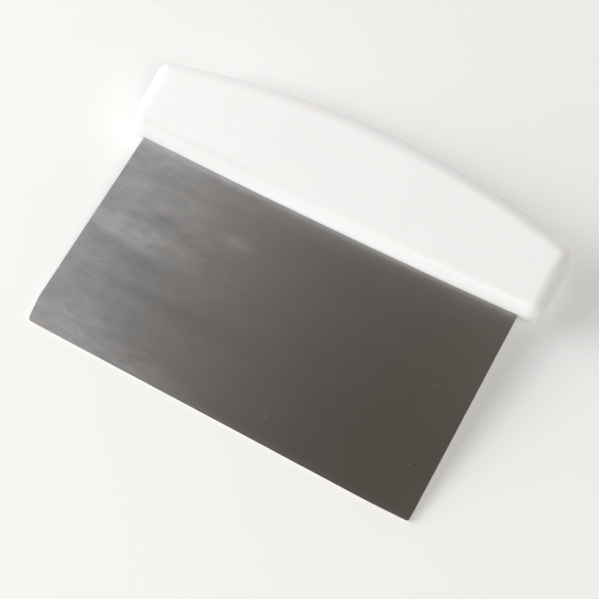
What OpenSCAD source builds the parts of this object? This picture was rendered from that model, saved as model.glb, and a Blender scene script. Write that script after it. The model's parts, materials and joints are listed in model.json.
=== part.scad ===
// Bench scraper: a stainless blade with a moulded white grip along its top edge.
// Drawn flat first (x along the edge, y from the edge towards the grip, z out of the
// blade's face, millimetres), then tilted to the pose in which it lies on a bench:
// the foot of the blade and the back of the grip both touch z = 0.

/* [Blade] */
// Width of the blade, along the scraping edge
blade_w = 150; // [120:1:155]
// Length of blade that shows below the grip, measured at the middle
blade_show = 78.6; // [60:0.2:100]
// Thickness of the sheet
blade_t = 1.0; // [1.0:0.1:1.6]
// Length of the slight bevel worn along the scraping edge
bevel_len = 2.0; // [0.5:0.1:4]
// Thickness left at the scraping edge
edge_t = 0.8; // [0.4:0.1:0.9]
// Radius of the blade's right corner
corner_r = 1.0; // [0.5:0.1:3]
// How far the worn left corner is rubbed back
wear_in = 1.3; // [0.6:0.1:2.5]
// How far the wear runs up the left side
wear_up = 8.5; // [6:0.5:15]
// Radius left on the worn corner
wear_r = 1.5; // [0.8:0.1:2.5]

/* [Tang] */
// Depth of the sheet inside the grip
tang_in = 22.4; // [18:0.2:26]
// Diameter of the holes that lock the tang in the grip
lock_d = 10; // [6:0.5:12]
// Number of lock holes
lock_n = 5; // [2:1:6]
// Distance between lock holes
lock_step = 28; // [14:1:28]
// Height of the lock holes above the grip's lower edge
lock_up = 12; // [9:0.5:13]

/* [Grip] */
// Length of the grip
grip_w = 165; // [164:1:180]
// Height of the grip at the middle
grip_h = 38.8; // [36:0.2:50]
// Radius of the arched top edge
arch_r = 340; // [300:5:600]
// How far the lower edge bows out at the middle
low_bow = 0.9; // [0.2:0.1:2]
// Thickness of the grip at its lower edge
nose_t = 11; // [10.4:0.2:14]
// Thickness of the grip at its top
top_t = 22; // [18:0.5:28]
// Radius of the grip's rounded edges
edge_r = 5; // [3:0.2:5]

/* [Hidden] */
$fn = 64;

// The grip is a ball rolled round an inner outline that lies on two flared planes.
// Its broad faces are then cut flat, shave below where the ball would touch.
ball_x = grip_w / 2 - edge_r;
low_y = blade_show + edge_r;
top_y = blade_show + grip_h - edge_r;
shave = 0.03;
nose_z = nose_t / 2 - edge_r;
top_z = top_t / 2 - edge_r;
flare = (top_z - nose_z) / (top_y - low_y);
face_off = edge_r * sqrt(1 + flare * flare) - shave;

// Arcs of the inner outline: its radius, and the half angle it spans
top_r = arch_r - edge_r;
top_a = asin(ball_x / top_r);
low_r = (ball_x * ball_x / low_bow + low_bow) / 2;
low_a = asin(ball_x / low_r);
arch_steps = 32;
low_steps = 6;
turn_steps = 6;
round_steps = 7;

// The lying pose: the plane under the blade's lower corner that touches the grip's back
function rest_tilt(y, t) =
    let(rise = top_z - t / 2, run = top_y - y)
    atan(rise / run) + asin(edge_r / sqrt(rise * rise + run * run));
tilt = min(rest_tilt(0, edge_t), rest_tilt(bevel_len, blade_t));
rest_z = max(
    edge_t / 2 * cos(tilt),
    blade_t / 2 * cos(tilt) - bevel_len * sin(tilt)
);
front_y = -edge_t / 2 * sin(tilt);
back_y = top_y * cos(tilt) + top_z * sin(tilt) + edge_r;
rest_y = -(front_y + back_y) / 2;

blade_len = blade_show + tang_in;
lock_y = blade_show + lock_up;

module lying() {
    translate([0, rest_y, rest_z])
        rotate([tilt, 0, 0])
            children();
}

module lock_holes(d, h) {
    for (i = [0 : lock_n - 1])
        translate([(i - (lock_n - 1) / 2) * lock_step, lock_y, -h / 2])
            cylinder(d = d, h = h);
}

// Sheet in plan: square right corner with a small radius, worn left corner
module blade_plan() {
    half = blade_w / 2;
    slant = sqrt(wear_in * wear_in + wear_up * wear_up);
    nx = wear_up / slant;
    ny = wear_in / slant;
    cx = -half + (wear_r + (wear_up - wear_r) * ny) / nx;
    difference() {
        translate([-half, 0])
            square([blade_w, blade_len]);
        translate([half - corner_r, 0])
            difference() {
                square([corner_r, corner_r]);
                translate([0, corner_r])
                    circle(r = corner_r);
            }
        polygon([[-half, wear_up], [-half, 0], [-half + wear_in, 0]]);
        difference() {
            polygon([
                [cx - wear_r * nx, wear_r - wear_r * ny],
                [-half + wear_in, 0],
                [cx, 0]
            ]);
            translate([cx, wear_r])
                circle(r = wear_r);
        }
    }
}

// Sheet in section, worn a little thinner on both sides at the scraping edge
module blade_section() {
    polygon([
        [0, -edge_t / 2],
        [bevel_len, -blade_t / 2],
        [blade_len, -blade_t / 2],
        [blade_len, blade_t / 2],
        [bevel_len, blade_t / 2],
        [0, edge_t / 2]
    ]);
}

module blade() {
    color([0.62, 0.61, 0.59])
        lying()
            difference() {
                intersection() {
                    translate([0, 0, -blade_t / 2])
                        linear_extrude(height = blade_t)
                            blade_plan();
                    translate([-blade_w / 2, 0, 0])
                        rotate([90, 0, 90])
                            linear_extrude(height = blade_w)
                                blade_section();
                }
                lock_holes(lock_d, 4 * blade_t);
            }
}

// Inner outline, anticlockwise from the lower left: [x, y, direction it faces]
function low_arc(a) = [low_r * sin(a), low_y + low_r * (1 - cos(a)), a - 90];
function top_arc(a) = [top_r * sin(a), top_y - top_r * (1 - cos(a)), 90 - a];
function turn(p, a0, a1) = [
    for (i = [1 : turn_steps])
        [p[0], p[1], a0 + (a1 - a0) * i / turn_steps]
];
outline = concat(
    [for (i = [0 : low_steps]) low_arc(low_a * (2 * i / low_steps - 1))],
    turn(low_arc(low_a), low_a - 90, 0),
    [concat([top_arc(top_a)[0], top_arc(top_a)[1]], 0)],
    turn(top_arc(top_a), 0, 90 - top_a),
    [for (i = [1 : arch_steps]) top_arc(top_a * (1 - 2 * i / arch_steps))],
    turn(top_arc(-top_a), 90 + top_a, 180),
    [concat([low_arc(-low_a)[0], low_arc(-low_a)[1]], 180)],
    [for (i = [1 : turn_steps - 1]) [
        low_arc(-low_a)[0],
        low_arc(-low_a)[1],
        180 + (90 - low_a) * i / turn_steps
    ]]
);

// Point on the ball at outline place p, step j of the way from its rim to its pole
function ball_point(p, j, side) =
    let(
        n = [cos(p[2]), sin(p[2]), 0],
        pole = [0, -flare, 1] / sqrt(1 + flare * flare),
        swing = acos(n * pole),
        up = (pole - (n * pole) * n) / sin(swing),
        a = (swing - 2) * j / round_steps,
        z = nose_z + flare * (p[1] - low_y),
        q = [p[0], p[1], z] + edge_r * (cos(a) * n + sin(a) * up)
    )
    [q[0], q[1], side * q[2]];

module rolled_body() {
    n = len(outline);
    rings = 2 * round_steps + 2;
    points = concat(
        [for (j = [round_steps : -1 : 0]) for (p = outline) ball_point(p, j, -1)],
        [for (j = [0 : round_steps]) for (p = outline) ball_point(p, j, 1)]
    );
    walls = [
        for (k = [0 : rings - 2])
            for (i = [0 : n - 1])
                let(
                    a = k * n + i,
                    b = k * n + (i + 1) % n,
                    c = b + n,
                    d = a + n
                )
                for (f = [[a, d, c], [a, c, b]]) f
    ];
    back = [[for (i = [0 : n - 1]) i]];
    front = [[for (i = [n - 1 : -1 : 0]) (rings - 1) * n + i]];
    polyhedron(points = points, faces = concat(back, walls, front));
}

// Wedge between the two broad faces of the grip
module face_wedge() {
    y0 = blade_show - 5;
    y1 = blade_show + grip_h + 5;
    z0 = nose_z + flare * (y0 - low_y) + face_off;
    z1 = nose_z + flare * (y1 - low_y) + face_off;
    translate([-grip_w, 0, 0])
        rotate([90, 0, 90])
            linear_extrude(height = 2 * grip_w)
                polygon([[y0, -z0], [y1, -z1], [y1, z1], [y0, z0]]);
}

// Wedge-shaped grip: thin where the blade leaves it, thick in the palm
module grip_body() {
    intersection() {
        rolled_body();
        face_wedge();
    }
}

module handle() {
    color([0.93, 0.92, 0.90])
        lying() {
            difference() {
                grip_body();
                translate([-blade_w / 2, 0, -blade_t / 2])
                    cube([blade_w, blade_len, blade_t]);
            }
            lock_holes(lock_d, blade_t);
        }
}

blade();
handle();
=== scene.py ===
# A bench scraper lying on a pale table: brushed steel blade, moulded white grip.
# Pieces are drawn in the blade's own frame, in metres: x along the scraping edge, y from the
# edge towards the grip, z out of the blade's face. LIE puts that frame into the row frame.
import json
import math

import bmesh
import bpy
from mathutils import Matrix, Vector


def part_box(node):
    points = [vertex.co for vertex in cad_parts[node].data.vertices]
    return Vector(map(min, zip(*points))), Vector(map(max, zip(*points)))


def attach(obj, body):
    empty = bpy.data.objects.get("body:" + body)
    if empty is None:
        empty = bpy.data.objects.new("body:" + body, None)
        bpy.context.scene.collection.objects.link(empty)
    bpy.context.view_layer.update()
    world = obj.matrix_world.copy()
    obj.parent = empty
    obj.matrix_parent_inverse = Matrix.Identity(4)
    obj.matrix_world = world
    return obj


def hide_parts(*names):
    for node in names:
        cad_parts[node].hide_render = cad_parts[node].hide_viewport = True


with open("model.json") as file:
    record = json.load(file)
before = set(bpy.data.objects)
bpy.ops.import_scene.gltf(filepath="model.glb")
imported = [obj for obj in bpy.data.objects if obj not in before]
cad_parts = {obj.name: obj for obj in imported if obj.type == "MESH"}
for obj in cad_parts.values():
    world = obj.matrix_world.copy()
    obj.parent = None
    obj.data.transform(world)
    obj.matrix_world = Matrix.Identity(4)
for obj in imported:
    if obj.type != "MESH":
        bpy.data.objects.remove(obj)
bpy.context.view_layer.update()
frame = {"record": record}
MM = 0.001

# ---------------------------------------------------------------- the blade's own frame
edge = next(m for m in frame["record"]["mounts"] if m["name"] == "scraping_edge")
Y_AXIS = -Vector(edge["axis"]).normalized()
X_AXIS = Vector((1, 0, 0))
Z_AXIS = X_AXIS.cross(Y_AXIS)
LIE = Matrix.Translation(edge["pos_m"]) @ Matrix((X_AXIS, Y_AXIS, Z_AXIS)).transposed().to_4x4()

# ---------------------------------------------------------------- sizes, as in the CAD source
BLADE_W = 150 * MM
BLADE_SHOW = 78.6 * MM
TANG_IN = 22.4 * MM
BLADE_LEN = BLADE_SHOW + TANG_IN
BLADE_T = 1.0 * MM
BEVEL_LEN = 2.0 * MM
EDGE_T = 0.8 * MM
CORNER_R = 1.0 * MM
WEAR_IN, WEAR_UP, WEAR_R = 1.3 * MM, 8.5 * MM, 1.5 * MM
GRIP_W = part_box("handle")[1].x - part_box("handle")[0].x
GRIP_H = 38.8 * MM
ARCH_R = 340 * MM
LOW_BOW = 0.9 * MM
NOSE_T, TOP_T = 11 * MM, 22 * MM
EDGE_R = 5 * MM

# Finer than the CAD source: the radius on the sheet's edges, and the rub at its right corner
LIP = 0.06 * MM
RUB_FROM, RUB_RISE, RUB_UP = 55 * MM, 0.5 * MM, 9 * MM

# ---------------------------------------------------------------- colours and other constants
# The second steel colour is painted shade: darker, warmer steel for the blade's right end
STEEL, STEEL_PAINTED_SHADE = (0.590, 0.588, 0.590), (0.512, 0.487, 0.468)
STAIN = (0.66, 0.56, 0.47)
WHITE_LOW, WHITE_HIGH = (0.818, 0.820, 0.825), (0.848, 0.850, 0.855)
# WHITE_SHADED is painted shade: the darker white for the grip's nose and ends
WHITE_SHADED = (0.71, 0.71, 0.71)
FLOOR_LOW, FLOOR_HIGH = (0.74, 0.74, 0.74), (0.76, 0.76, 0.76)
FLOOR_GLOW = 0.15
FLOOR_HALF = 12.0
WALL, ROOM = (0.85, 0.85, 0.85, 1), (0.058, 0.041, 0.025, 1)
WALL_TOP, ROOM_FROM = 0.24, 0.36  # sines of the elevations where the wall ends and the room begins
WELD = 1e-6
SCRATCH_HALF = 0.22  # half the width of a single scratch, in millimetres
GRAIN_SCALE = 5  # the grain's UV map only has to give a direction, so any scale does


# ---------------------------------------------------------------- mesh helpers
def make_object(name, bm, material, smooth_angle=None):
    mesh = bpy.data.meshes.new(name)
    bmesh.ops.recalc_face_normals(bm, faces=bm.faces)
    bm.to_mesh(mesh)
    bm.free()
    mesh.materials.append(material)
    mesh.shade_smooth()
    if smooth_angle is not None:
        mesh.set_sharp_from_angle(angle=math.radians(smooth_angle))
    mesh.transform(LIE)
    obj = bpy.data.objects.new(name, mesh)
    bpy.context.scene.collection.objects.link(obj)
    return obj


# ---------------------------------------------------------------- node helpers
class Nodes:
    """Short calls for a material's node tree."""

    def __init__(self, name):
        self.mat = bpy.data.materials.new(name)
        self.mat.use_nodes = True
        self.tree = self.mat.node_tree
        self.tree.nodes.clear()
        out = self.tree.nodes.new("ShaderNodeOutputMaterial")
        self.bsdf = self.tree.nodes.new("ShaderNodeBsdfPrincipled")
        self.link(self.bsdf.outputs[0], out.inputs["Surface"])
        coord = self.tree.nodes.new("ShaderNodeTexCoord").outputs["Object"]
        own = self.tree.nodes.new("ShaderNodeMapping")
        own.vector_type = "TEXTURE"
        own.inputs["Location"].default_value = LIE.to_translation()
        own.inputs["Rotation"].default_value = LIE.to_euler()
        self.link(coord, own.inputs["Vector"])
        self.coord = own.outputs[0]

    def link(self, a, b):
        self.tree.links.new(a, b)

    def put(self, socket, value):
        if isinstance(value, bpy.types.NodeSocket):
            self.link(value, socket)
        else:
            socket.default_value = value

    def math(self, op, a, b=0.0, c=0.0):
        n = self.tree.nodes.new("ShaderNodeMath")
        n.operation = op
        for i, v in enumerate((a, b, c)):
            self.put(n.inputs[i], v)
        return n.outputs[0]

    def mapped(self, scale, turn=0.0, shift=(0, 0, 0)):
        """The blade's own coordinates, turned about z in degrees, scaled in cells per metre."""
        m = self.tree.nodes.new("ShaderNodeMapping")
        m.vector_type = "POINT"
        self.link(self.coord, m.inputs["Vector"])
        if turn:
            r = self.tree.nodes.new("ShaderNodeVectorRotate")
            r.rotation_type = "Z_AXIS"
            r.inputs["Angle"].default_value = math.radians(turn)
            self.link(self.coord, r.inputs["Vector"])
            self.link(r.outputs[0], m.inputs["Vector"])
        m.inputs["Scale"].default_value = scale
        m.inputs["Location"].default_value = shift
        return m.outputs[0]

    def noise(self, vector, detail=2.0, rough=0.5, distort=0.0):
        n = self.tree.nodes.new("ShaderNodeTexNoise")
        self.link(vector, n.inputs["Vector"])
        n.inputs["Scale"].default_value = 1.0
        n.inputs["Detail"].default_value = detail
        n.inputs["Roughness"].default_value = rough
        n.inputs["Distortion"].default_value = distort
        return n.outputs["Fac"]

    def remap(self, value, a, b, c=0.0, d=1.0, smooth=False):
        n = self.tree.nodes.new("ShaderNodeMapRange")
        n.interpolation_type = "SMOOTHSTEP" if smooth else "LINEAR"
        self.put(n.inputs["Value"], value)
        for key, v in zip(("From Min", "From Max", "To Min", "To Max"), (a, b, c, d)):
            n.inputs[key].default_value = v
        return n.outputs[0]

    def mix(self, fac, a, b, mode="MIX"):
        n = self.tree.nodes.new("ShaderNodeMix")
        n.data_type = "RGBA"
        n.blend_type = mode
        self.put(n.inputs[0], fac)
        for i, v in ((6, a), (7, b)):
            self.put(n.inputs[i], v if isinstance(v, bpy.types.NodeSocket) else (*v, 1))
        return n.outputs[2]

    def xyz(self):
        n = self.tree.nodes.new("ShaderNodeSeparateXYZ")
        self.link(self.coord, n.inputs[0])
        return n.outputs

    def ellipse(self, cx, cy, rx, ry, turn=0.0):
        """A spot on the front face, 1 in its middle and 0 at its rim; millimetres and degrees."""
        m = self.tree.nodes.new("ShaderNodeMapping")
        m.vector_type = "TEXTURE"
        m.inputs["Location"].default_value = (cx * MM, cy * MM, BLADE_T / 2)
        m.inputs["Rotation"].default_value = (0, 0, math.radians(turn))
        m.inputs["Scale"].default_value = (rx * MM, ry * MM, 0.9 * BLADE_T)
        self.link(self.coord, m.inputs["Vector"])
        g = self.tree.nodes.new("ShaderNodeTexGradient")
        g.gradient_type = "SPHERICAL"
        self.link(m.outputs[0], g.inputs["Vector"])
        return g.outputs["Fac"]

    def bump(self, height, distance, strength=1.0):
        n = self.tree.nodes.new("ShaderNodeBump")
        n.inputs["Strength"].default_value = strength
        n.inputs["Distance"].default_value = distance
        self.link(height, n.inputs["Height"])
        return n.outputs[0]


# ---------------------------------------------------------------- materials
def steel_material():
    """Sheet steel brushed along x: smeared at its left end, with painted shade making its right end
    darker and warmer.
    """
    n = Nodes("brushed_steel")
    x, y, _ = n.xyz()
    handled = n.remap(x, -62 * MM, 10 * MM, 1, 0, smooth=True)
    upper = n.remap(y, 20 * MM, 72 * MM, 0, 1, smooth=True)

    # Grain: hairlines, wider lines and streaks, all along x
    hair = n.noise(n.mapped((60, 9000, 9000)), detail=3, rough=0.7)
    line = n.noise(n.mapped((28, 1500, 1500)), detail=3, rough=0.6)
    streak = n.noise(n.mapped((11, 115, 115)), detail=2, rough=0.5)
    cloud = n.noise(n.mapped((80, 210, 210)), detail=5, rough=0.62, distort=0.5)
    blotch = n.noise(n.mapped((190, 340, 340)), detail=3, rough=0.6, distort=0.3)
    grit = n.remap(n.noise(n.mapped((2600, 2600, 2600)), detail=2), 0.38, 0.58, 0.25, 1.0)

    tone = n.math("MULTIPLY_ADD", n.math("SUBTRACT", line, 0.5), 0.12, 1.0)
    tone = n.math("MULTIPLY_ADD", n.math("SUBTRACT", hair, 0.5), 0.30, tone)
    # Painted light: the blade's tone rises towards the grip
    tone = n.math("MULTIPLY_ADD", upper, 0.12, tone)
    marks = n.remap(cloud, 0.3, 0.7, -0.09, 0.09)
    marks = n.math("MULTIPLY_ADD", n.math("SUBTRACT", streak, 0.5), 0.30, marks)
    marks = n.math("ADD", marks, n.remap(blotch, 0.3, 0.7, -0.06, 0.06))
    tone = n.math("MULTIPLY_ADD", marks, handled, tone)

    # Smears along the blade, and broad painted light and shade shaping the reflection's falloff at
    # the left end, each an ellipse (x, y, half length, half height, gain)
    smears_and_painted_light = (
        (-54, 45.5, 27, 6.5, 0.34),
        (-23, 58.6, 9, 3.6, 0.22),
        (-60, 9, 24, 9, 0.16),
        (-38, 3, 40, 6, 0.26),
        (-42, 66, 26, 12, 0.07),
        (-78, 62, 14, 26, -0.12),
        (-52, 36, 30, 6, -0.16),
        (-34, 27, 44, 7, -0.12),
        (-50, 54, 8, 4.5, -0.16),
    )
    ragged = n.remap(cloud, 0.35, 0.65, 0.6, 1.3)
    for cx, cy, rx, ry, gain in smears_and_painted_light:
        spot = n.math("MULTIPLY", n.ellipse(cx, cy, rx, ry), ragged)
        tone = n.math("MULTIPLY_ADD", spot, gain, tone)

    # A web of fine scratches in five directions (turn, cells per metre across and along)
    directions = (
        (17, 3300, 210), (38, 4200, 330), (-29, 3700, 260), (-54, 4600, 420), (79, 3900, 380),
    )
    web = None
    for turn, across, along in directions:
        cells = n.mapped((along, across, 400), turn, (turn, -turn, 0))
        w = n.remap(n.noise(cells, detail=1, distort=0.25), 0.66, 0.80)
        web = w if web is None else n.math("MAXIMUM", web, w)
    patchy = n.remap(cloud, 0.40, 0.62, 0.15, 1.0)
    web = n.math("MULTIPLY", n.math("MULTIPLY", web, patchy), n.remap(handled, 0, 1, 0.15, 1.0))

    # Single scratches (x, y, half length, turn, gain); the two long dark ones at y 2.4 and 2.5 mm
    # are painted shade along the top of the edge bevel
    scratches = (
        (-70.8, 73.3, 3.2, -1, 0.5), (-63.5, 31, 1.5, 12, 0.5), (-55, 61.2, 1.8, 30, 0.4),
        (-50.2, 37.5, 1.2, 80, 0.4), (-50.0, 33.0, 1.2, 85, -0.45), (-49.3, 25.0, 1.1, 40, -0.45),
        (-44.8, 22.0, 2.0, 30, 0.35), (-46, 45.4, 2.2, 2, 0.4), (-36.5, 45.6, 4.0, 0, 0.3),
        (-51.5, 44.8, 1.6, 70, 0.5), (-30, 48.0, 1.8, 4, 0.4), (-44, 62, 1.3, -35, 0.45),
        (-57, 12, 1.7, -55, 0.4), (-66, 8.4, 1.6, -25, -0.4), (-37, 50.6, 1.4, 20, -0.4),
        (-65, 24.2, 3.2, 0, -0.36), (-52.0, 60.0, 1.4, 28, 0.4), (-67.6, 2.4, 6.0, 2, -0.5),
        (-58, 2.5, 5.5, -3, -0.5), (-27, 42.9, 0.9, 45, -0.45),
    )
    deep = None
    for cx, cy, half, turn, gain in scratches:
        cut = n.ellipse(cx, cy, half, SCRATCH_HALF, turn)
        tone = n.math("MULTIPLY_ADD", n.math("MULTIPLY", cut, grit), gain, tone)
        deep = cut if deep is None else n.math("MAXIMUM", deep, cut)
    tone = n.math("MULTIPLY_ADD", web, 0.22, tone)

    # Dried specks (x, y, radius), and a painted highlight: a brighter strip along the scraping edge
    specks = (
        (61.6, 44.2, 0.8), (66.6, 16.9, 0.7), (17, 8.8, 0.9), (73.4, 61.2, 0.5), (-71.5, 58.6, 0.5),
    )
    for cx, cy, r in specks:
        tone = n.math("MULTIPLY_ADD", n.math("MULTIPLY", n.ellipse(cx, cy, r, r), grit), 0.6, tone)
    edge_highlight = n.remap(y, 0.2 * MM, 3.2 * MM, 1, 0, smooth=True)
    tone = n.math("MULTIPLY_ADD", edge_highlight, 0.14, tone)

    # Tint: painted shade makes the right end darker and warmer, and there is a small brown stain by
    # the left corner
    right_painted_shade = n.remap(x, 0, 66 * MM, 0, 1, smooth=True)
    right_painted_shade = n.math("MULTIPLY", right_painted_shade, n.remap(upper, 0, 1, 1, 0.45))
    stain = n.ellipse(-68.5, 1.2, 3.5, 1.1, -8)
    tint = n.mix(stain, n.mix(right_painted_shade, STEEL, STEEL_PAINTED_SHADE), STAIN)
    level = n.tree.nodes.new("ShaderNodeCombineXYZ")
    for i in range(3):
        n.link(tone, level.inputs[i])
    b = n.bsdf
    n.link(n.mix(1.0, tint, level.outputs[0], "MULTIPLY"), b.inputs["Base Color"])
    b.inputs["Metallic"].default_value = 1.0
    b.inputs["Anisotropic"].default_value = 0.75
    rough = n.math("MULTIPLY_ADD", n.math("SUBTRACT", line, 0.5), 0.05, 0.40)
    rough = n.math("MULTIPLY_ADD", n.math("SUBTRACT", cloud, 0.5), 0.03, rough)
    n.link(n.math("MULTIPLY_ADD", web, -0.08, rough), b.inputs["Roughness"])
    grain = n.tree.nodes.new("ShaderNodeTangent")
    grain.direction_type = "UV_MAP"
    grain.uv_map = "grain"
    n.link(grain.outputs[0], b.inputs["Tangent"])
    cuts = n.math("MULTIPLY_ADD", web, -0.5, n.math("MULTIPLY", deep, -1.0))
    height = n.math("MULTIPLY_ADD", hair, 0.6, cuts)
    n.link(n.bump(height, 0.008 * MM), b.inputs["Normal"])
    return n.mat


def plastic_material():
    """Matt white moulded plastic, faintly mottled, with painted shade darkening its nose and ends.
    """
    n = Nodes("white_plastic")
    x, y, _ = n.xyz()
    fine = n.noise(n.mapped((2500, 2500, 2500)), detail=2)
    soft = n.noise(n.mapped((45, 45, 45)), detail=3)
    flow = n.noise(n.mapped((25, 140, 140)), detail=3, rough=0.6, distort=0.6)
    # Painted shade: a darker tone in a band where the blade goes in, wider and darker at the left,
    # and on both ends
    nose, end = BLADE_SHOW, GRIP_W / 2
    left = n.remap(x, -75 * MM, 20 * MM, 1, 0, smooth=True)
    narrow = n.remap(y, nose + 1.8 * MM, nose + 3.8 * MM, 0.5, 0, smooth=True)
    wide = n.remap(y, nose + 2.2 * MM, nose + 7.0 * MM, 1, 0, smooth=True)
    band = n.math("ADD", narrow, n.math("MULTIPLY", left, n.math("SUBTRACT", wide, narrow)))
    band = n.math("MULTIPLY", band, n.remap(y, nose + 0.1 * MM, nose + 1.3 * MM, 0, 1))
    right_end = n.remap(x, end - 3.5 * MM, end, 0, 0.8, smooth=True)
    left_end = n.remap(x, -end, -end + 6 * MM, 1, 0, smooth=True)
    shade = n.math("MAXIMUM", band, n.math("MAXIMUM", left_end, right_end))
    shade = n.math("MULTIPLY", shade, n.remap(flow, 0.3, 0.7, 0.8, 1.0))
    b = n.bsdf
    white = n.mix(soft, WHITE_LOW, WHITE_HIGH)
    n.put(b.inputs["Base Color"], n.mix(shade, white, WHITE_SHADED))
    rough = n.remap(fine, 0.3, 0.7, 0.5, 0.6)
    rough = n.math("MULTIPLY_ADD", n.math("SUBTRACT", flow, 0.5), 0.12, rough)
    n.put(b.inputs["Roughness"], rough)
    b.inputs["Subsurface Weight"].default_value = 1.0
    b.inputs["Subsurface Radius"].default_value = (1.0, 0.95, 0.9)
    b.inputs["Subsurface Scale"].default_value = 3 * MM
    grainy = n.math("MULTIPLY_ADD", flow, 1.5, fine)
    n.put(b.inputs["Normal"], n.bump(grainy, 0.02 * MM, 0.5))
    return n.mat


# ---------------------------------------------------------------- the grip
def arc(t0, t1, steps):
    return [t0 + (t1 - t0) * i / steps for i in range(steps + 1)]


def build_grip(material):
    ball_x = GRIP_W / 2 - EDGE_R
    low_y = BLADE_SHOW + EDGE_R
    top_y = BLADE_SHOW + GRIP_H - EDGE_R
    nose_z, top_z = NOSE_T / 2 - EDGE_R, TOP_T / 2 - EDGE_R
    flare = (top_z - nose_z) / (top_y - low_y)
    top_r = ARCH_R - EDGE_R
    low_r = (ball_x**2 / LOW_BOW + LOW_BOW) / 2
    top_a, low_a = math.asin(ball_x / top_r), math.asin(ball_x / low_r)
    ALONG, UP, TURN, ROUND, STRIP = 96, 22, 14, 20, 4

    # The inner outline, as places (x, y, direction it faces)
    def low(a):
        return low_r * math.sin(a), low_y + low_r * (1 - math.cos(a)), a - math.pi / 2

    def top(a):
        return top_r * math.sin(a), top_y - top_r * (1 - math.cos(a)), math.pi / 2 - a

    outline = [low(a) for a in arc(-low_a, low_a, ALONG)]
    p, q = low(low_a), top(top_a)
    outline += [(p[0], p[1], a) for a in arc(p[2], 0, TURN)[1:]]
    outline += [(p[0], y, 0) for y in arc(p[1], q[1], UP)[1:]]
    outline += [(q[0], q[1], a) for a in arc(0, q[2], TURN)[1:]]
    outline += [top(a) for a in arc(top_a, -top_a, ALONG)[1:]]
    p, q = top(-top_a), low(-low_a)
    outline += [(p[0], p[1], a) for a in arc(math.pi / 2 + top_a, math.pi, TURN)[1:]]
    outline += [(p[0], y, math.pi) for y in arc(p[1], q[1], UP)[1:]]
    outline += [(q[0], q[1], a) for a in arc(math.pi, 1.5 * math.pi - low_a, TURN)[1:-1]]
    pole = Vector((0, -flare, 1)).normalized()

    def ball(o, j, side):
        """The point on the ball at place o, step j of the way from its rim to its pole."""
        n = Vector((math.cos(o[2]), math.sin(o[2]), 0))
        swing = math.acos(n.dot(pole))
        up = (pole - n.dot(pole) * n).normalized()
        a = swing * j / ROUND
        c = Vector((o[0], o[1], nose_z + flare * (o[1] - low_y)))
        v = c + EDGE_R * (math.cos(a) * n + math.sin(a) * up)
        return Vector((v.x, v.y, side * v.z))

    bm = bmesh.new()
    rings = []
    for j in range(ROUND, -1, -1):
        rings.append([bm.verts.new(ball(o, j, -1)) for o in outline])
    for k in range(1, STRIP):
        t = 2 * k / STRIP - 1
        rings.append([bm.verts.new(Vector((1, 1, t)) * ball(o, 0, 1)) for o in outline])
    for j in range(ROUND + 1):
        rings.append([bm.verts.new(ball(o, j, 1)) for o in outline])
    count = len(outline)
    for a, b in zip(rings, rings[1:]):
        for i in range(count):
            j = (i + 1) % count
            bm.faces.new((a[i], a[j], b[j], b[i]))
    # Broad faces: a grid of quads between the lower arc and the arch
    right0 = ALONG + TURN
    top0 = right0 + UP + TURN
    left0 = top0 + ALONG + TURN
    for ring, side in ((rings[0], -1), (rings[-1], 1)):
        grid = []
        for r in range(UP + 1):
            row = []
            for c in range(ALONG + 1):
                lowv = ring[c]
                topv = ring[top0 + ALONG - c]
                if r == 0:
                    row.append(lowv)
                elif r == UP:
                    row.append(topv)
                elif c == 0:
                    row.append(ring[left0 + UP - r])
                elif c == ALONG:
                    row.append(ring[right0 + r])
                else:
                    row.append(bm.verts.new(lowv.co.lerp(topv.co, r / UP)))
            grid.append(row)
        for r in range(UP):
            for c in range(ALONG):
                f = (grid[r][c], grid[r][c + 1], grid[r + 1][c + 1], grid[r + 1][c])
                bm.faces.new(f if side > 0 else f[::-1])
    bmesh.ops.remove_doubles(bm, verts=bm.verts, dist=WELD)
    return make_object("grip", bm, material)


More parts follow.
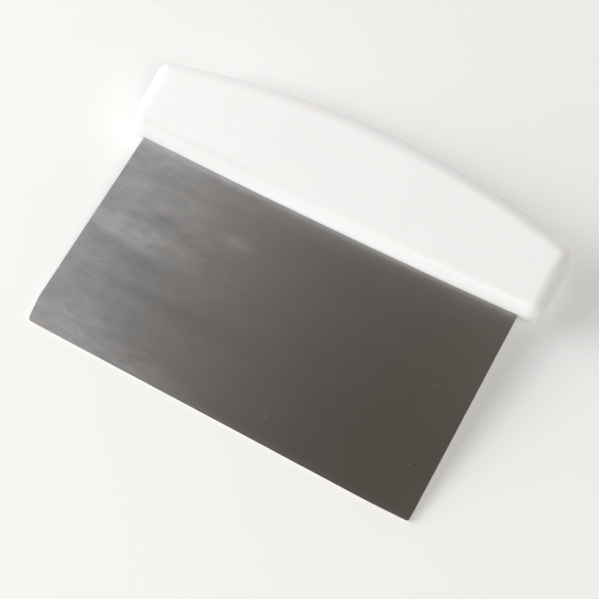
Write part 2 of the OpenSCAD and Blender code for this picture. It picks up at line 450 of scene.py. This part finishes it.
# ---------------------------------------------------------------- the blade
def build_blade(material):
    half = BLADE_W / 2
    slant = math.hypot(WEAR_IN, WEAR_UP)
    nx, ny = WEAR_UP / slant, WEAR_IN / slant
    cx = -half + (WEAR_R + (WEAR_UP - WEAR_R) * ny) / nx
    join_y = WEAR_R - WEAR_R * ny

    def left(y):
        """Where the sheet's left side is at height y, down to its worn corner."""
        if y < join_y:
            return cx - math.sqrt(max(WEAR_R**2 - (WEAR_R - y) ** 2, 0))
        if y < WEAR_UP:
            return -half + WEAR_IN * (1 - y / WEAR_UP)
        return -half

    def right(y):
        """Where the sheet's right side is at height y."""
        if y < CORNER_R:
            return half - CORNER_R + math.sqrt(max(CORNER_R**2 - (CORNER_R - y) ** 2, 0))
        return half

    def drop(d):
        """How far the edge radius lowers the face, at distance d from the edge."""
        return LIP - math.sqrt(max(LIP**2 - (LIP - d) ** 2, 0)) if d < LIP else 0.0

    rounding = [LIP * (1 - math.cos(a)) for a in arc(0, math.pi / 2, 4)]
    corner = [CORNER_R * (1 - math.cos(a)) for a in arc(0.42, math.pi / 2, 6)]
    ys = rounding + corner + arc(CORNER_R, BEVEL_LEN, 2)[1:] + arc(BEVEL_LEN, WEAR_UP, 7)[1:]
    ys += arc(WEAR_UP, BLADE_LEN - 2 * LIP, 46)[1:] + [BLADE_LEN - r for r in rounding[::-1]]
    ys = sorted(set(round(v, 8) for v in ys + [2 * LIP]))
    MID = 96

    def station(y):
        a, b = left(y), right(y)
        inner = arc(a + 2 * LIP, b - 2 * LIP, MID)
        return [a + r for r in rounding] + inner + [b - r for r in rounding[::-1]]

    def half_t(y, x, a, b):
        t = BLADE_T / 2
        if y < BEVEL_LEN:
            t = EDGE_T / 2 + (BLADE_T - EDGE_T) / 2 * y / BEVEL_LEN
        return t - drop(min(x - a, b - x)) - drop(y) - drop(BLADE_LEN - y)

    bm = bmesh.new()
    uv = bm.loops.layers.uv.new("grain")
    sides = []
    for s in (1, -1):
        rows = []
        for y in ys:
            a, b = left(y), right(y)
            rows.append([bm.verts.new((x, y, s * half_t(y, x, a, b))) for x in station(y)])
        sides.append(rows)
        for r0, r1 in zip(rows, rows[1:]):
            for i in range(len(r0) - 1):
                f = (r0[i], r0[i + 1], r1[i + 1], r1[i])
                bm.faces.new(f if s > 0 else f[::-1])
    front, back = sides

    def rim(rows):
        loop = list(rows[0]) + [r[-1] for r in rows[1:]]
        return loop + list(reversed(rows[-1][:-1])) + [r[0] for r in reversed(rows[1:-1])]

    a, b = rim(front), rim(back)
    for i in range(len(a)):
        j = (i + 1) % len(a)
        bm.faces.new((b[i], b[j], a[j], a[i]))
    bmesh.ops.remove_doubles(bm, verts=bm.verts, dist=WELD)
    for v in bm.verts:
        if v.co.x > RUB_FROM and v.co.y < RUB_UP:
            reach = (v.co.x - RUB_FROM) / (half - RUB_FROM)
            v.co.y += RUB_RISE * reach**2 * (1 - v.co.y / RUB_UP)
    for f in bm.faces:
        for loop in f.loops:
            c = loop.vert.co
            loop[uv].uv = (c.y * GRAIN_SCALE, c.x * GRAIN_SCALE + 0.5)
    return make_object("blade_sheet", bm, material, smooth_angle=25)


grip = build_grip(plastic_material())
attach(grip, "root")
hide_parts("handle")
blade = build_blade(steel_material())
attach(blade, "root")
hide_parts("blade")


# ---------------------------------------------------------------- table
def build_table():
    n = Nodes("pale_table")
    soft = n.noise(n.mapped((6, 6, 6)), detail=2)
    n.put(n.bsdf.inputs["Base Color"], n.mix(soft, FLOOR_LOW, FLOOR_HIGH))
    n.put(n.bsdf.inputs["Roughness"], 0.9)
    n.put(n.bsdf.inputs["Specular IOR Level"], 0.1)
    n.put(n.bsdf.inputs["Emission Color"], (1, 1, 1, 1))
    n.put(n.bsdf.inputs["Emission Strength"], FLOOR_GLOW)
    bm = bmesh.new()
    bmesh.ops.create_grid(bm, x_segments=24, y_segments=24, size=FLOOR_HALF)
    mesh = bpy.data.meshes.new("table")
    bm.to_mesh(mesh)
    bm.free()
    mesh.materials.append(n.mat)
    obj = bpy.data.objects.new("table", mesh)
    bpy.context.scene.collection.objects.link(obj)
    return obj


build_table()


# ---------------------------------------------------------------- light
def softbox(name, azimuth, elevation, distance, size, power, color=(1, 1, 1)):
    """A soft rectangular light aimed at the object; azimuth runs from +X towards +Y."""
    light = bpy.data.lights.new(name, "AREA")
    light.shape = "RECTANGLE"
    light.size, light.size_y = size
    light.energy = power
    light.color = color
    obj = bpy.data.objects.new(name, light)
    bpy.context.scene.collection.objects.link(obj)
    a, e = math.radians(azimuth), math.radians(elevation)
    at = distance * Vector((math.cos(a) * math.cos(e), math.sin(a) * math.cos(e), math.sin(e)))
    obj.location = at
    obj.rotation_mode = "QUATERNION"
    obj.rotation_quaternion = (-at).to_track_quat("-Z", "Y")


def make_world():
    """A pale wall round the table up to about 14 degrees, a dim warm room above 21."""
    world = bpy.data.worlds.new("studio")
    world.use_nodes = True
    tree = world.node_tree
    coord = tree.nodes.new("ShaderNodeTexCoord")
    split = tree.nodes.new("ShaderNodeSeparateXYZ")
    ramp = tree.nodes.new("ShaderNodeValToRGB")
    ramp.color_ramp.interpolation = "EASE"
    wall, room = ramp.color_ramp.elements
    wall.position, wall.color = WALL_TOP, WALL
    room.position, room.color = ROOM_FROM, ROOM
    tree.links.new(coord.outputs["Generated"], split.inputs[0])
    tree.links.new(split.outputs[2], ramp.inputs[0])
    tree.links.new(ramp.outputs[0], tree.nodes["Background"].inputs["Color"])
    bpy.context.scene.world = world


make_world()
softbox("low_left", 190, 18, 1.6, (1.4, 0.8), 23.5, (1.0, 0.93, 0.87))
softbox("key_left", 205, 28, 1.6, (1.2, 1.2), 18.0, (0.90, 0.95, 1.0))
softbox("fill_high", 324, 53, 1.8, (1.0, 1.0), 14.4, (1.0, 0.99, 0.95))
softbox("glint_back", 150, 55, 1.8, (0.5, 0.5), 1.0)
softbox("low_back", 90, 5, 1.8, (2.0, 0.3), 8.0, (0.95, 0.95, 1.0))

# ---------------------------------------------------------------- camera
AZIMUTH, ELEVATION, ROLL = 34.313, 64.062, -5.132
DISTANCE, LENS = 0.43007, 75.4
AIM = Vector((0.00686, -0.00862, 0.00565))


def make_camera():
    data = bpy.data.cameras.new("camera")
    data.lens = LENS
    data.sensor_width = 36
    data.clip_start, data.clip_end = 0.01, 20
    cam = bpy.data.objects.new("camera", data)
    bpy.context.scene.collection.objects.link(cam)
    a, e, r = map(math.radians, (AZIMUTH, ELEVATION, ROLL))
    back = Vector((math.sin(a) * math.cos(e), -math.cos(a) * math.cos(e), math.sin(e)))
    level = Vector((0, 0, 1)).cross(back).normalized()
    above = back.cross(level)
    right = level * math.cos(r) + above * math.sin(r)
    up = above * math.cos(r) - level * math.sin(r)
    turn = Matrix((right, up, back)).transposed().to_4x4()
    cam.matrix_world = Matrix.Translation(AIM + back * DISTANCE) @ turn
    bpy.context.scene.camera = cam


make_camera()
bpy.context.scene.view_settings.view_transform = "Standard"
